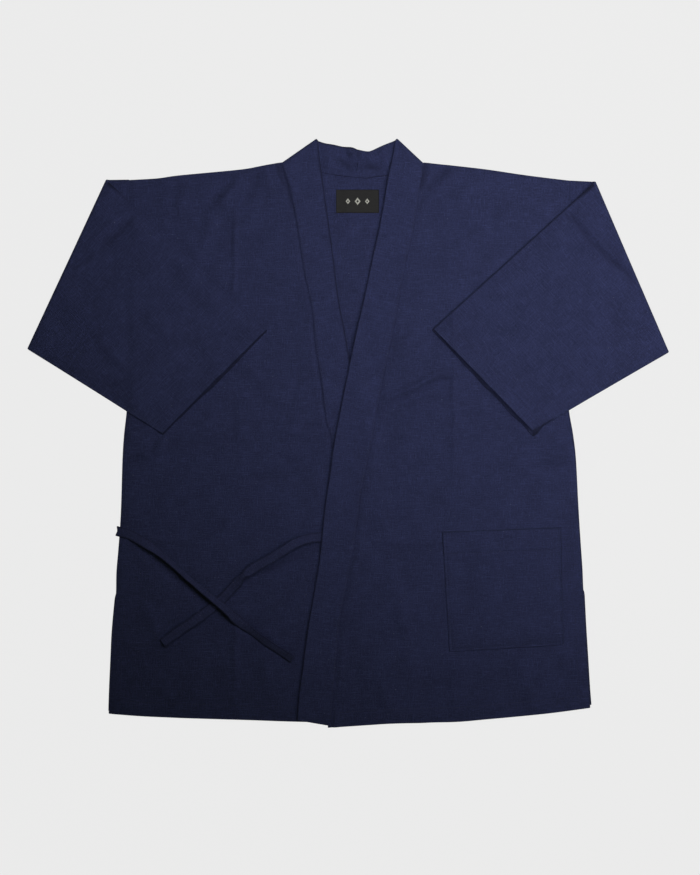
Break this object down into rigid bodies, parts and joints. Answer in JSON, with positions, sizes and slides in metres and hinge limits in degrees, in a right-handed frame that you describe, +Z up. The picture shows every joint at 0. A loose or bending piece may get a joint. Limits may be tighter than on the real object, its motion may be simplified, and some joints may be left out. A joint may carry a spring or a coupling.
{
  "type": "samue jacket",
  "caption": "Plain navy cotton samue jacket laid flat, front up, with a lapped collar, a patch pocket, tie strips and both sleeves folded in over the fronts.",
  "frame": {"origin": "on the surface it lies on, below the middle of the laid-out jacket", "axes": "+Z up from the surface, +Y towards the neck, +X towards the wearer's left sleeve"},
  "size_m": [0.8957, 0.8196, 0.0185],
  "materials": {
    "navy_cotton": "matte slubby plain weave",
    "woven_label": "dense woven tape"
  },
  "bodies": {
    "root": {"back": "navy_cotton", "front_right": "navy_cotton", "front_left": "navy_cotton", "collar_right": "navy_cotton", "collar_left": "navy_cotton", "sleeve_right": "navy_cotton", "sleeve_left": "navy_cotton", "pocket": "navy_cotton", "label": "woven_label", "tie_front": "navy_cotton", "tie_side": "navy_cotton"}
  },
  "joints": []
}
